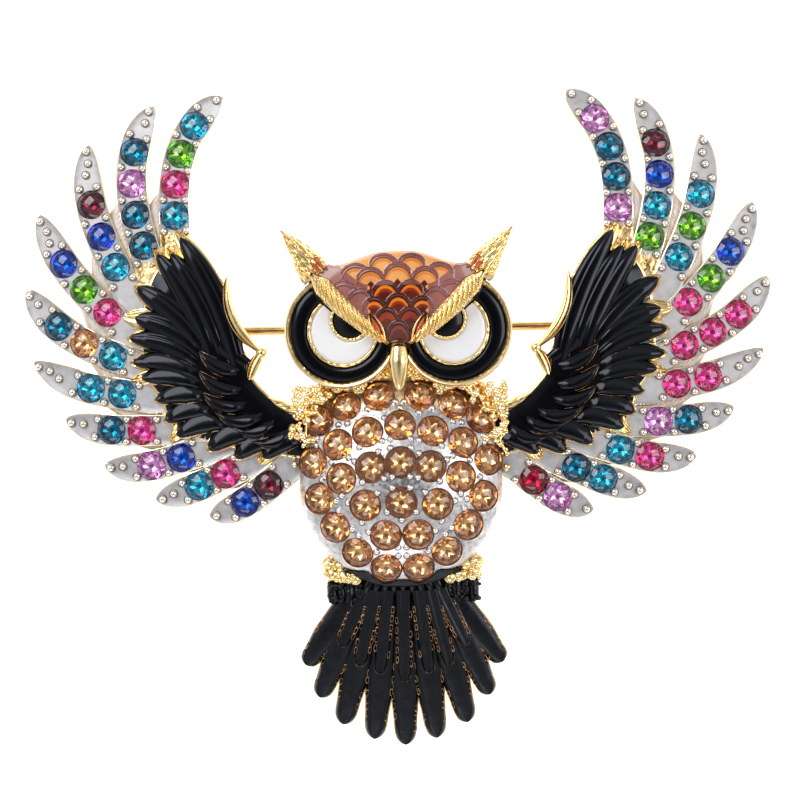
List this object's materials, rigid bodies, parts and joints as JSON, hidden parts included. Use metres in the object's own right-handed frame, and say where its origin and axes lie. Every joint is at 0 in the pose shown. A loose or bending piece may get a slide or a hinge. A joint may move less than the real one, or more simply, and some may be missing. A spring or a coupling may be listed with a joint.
{
  "type": "owl brooch",
  "caption": "Figural owl brooch with spread wings, set with round cut stones and enamel, with a hinged pin across the back.",
  "frame": {"origin": "middle of the brooch's outline, on the surface it lies on face up", "axes": "+Z out of the owl's face, +Y towards the top of its head, +X to the viewer's right, along the span of the wings"},
  "size_m": [0.0746, 0.0656, 0.0117],
  "materials": {
    "plated_metal": "bright gold plate, with silver-toned plate on the stone-set feathers and torso",
    "black_enamel": "glossy black enamel",
    "amber_enamel": "glossy translucent amber enamel",
    "white_enamel": "glossy white enamel",
    "pin_wire": "gold-plated wire",
    "topaz_stone": "cut glass, foiled back",
    "aqua_stone": "cut glass, foiled back",
    "teal_stone": "cut glass, foiled back",
    "fuchsia_stone": "cut glass, foiled back",
    "rose_stone": "cut glass, foiled back",
    "sapphire_stone": "cut glass, foiled back",
    "peridot_stone": "cut glass, foiled back",
    "plum_stone": "cut glass, foiled back",
    "ruby_stone": "cut glass, foiled back"
  },
  "bodies": {
    "brooch": {"cast_body": "plated_metal", "wing_enamel_left": "black_enamel", "wing_enamel_right": "black_enamel", "tail_enamel": "black_enamel", "crown_enamel": "amber_enamel", "brow_inlay_enamel": "amber_enamel", "eye_ring_enamel_left": "black_enamel", "eye_ring_enamel_right": "black_enamel", "eye_white_enamel_left": "white_enamel", "eye_white_enamel_right": "white_enamel", "pupil_enamel_left": "black_enamel", "pupil_enamel_right": "black_enamel", "stones_topaz": "topaz_stone", "stones_aqua": "aqua_stone", "stones_teal": "teal_stone", "stones_fuchsia": "fuchsia_stone", "stones_rose": "rose_stone", "stones_sapphire": "sapphire_stone", "stones_peridot": "peridot_stone", "stones_plum": "plum_stone", "stones_ruby": "ruby_stone"},
    "pin": {"pin_stem": "pin_wire"}
  },
  "joints": [
    {"name": "pin_hinge", "type": "hinge", "parent": "brooch", "child": "pin", "pos_m": [-0.01844, 0.0092, 0.0015], "axis": [0, 1, 0], "range_deg": [0, 100]}
  ]
}
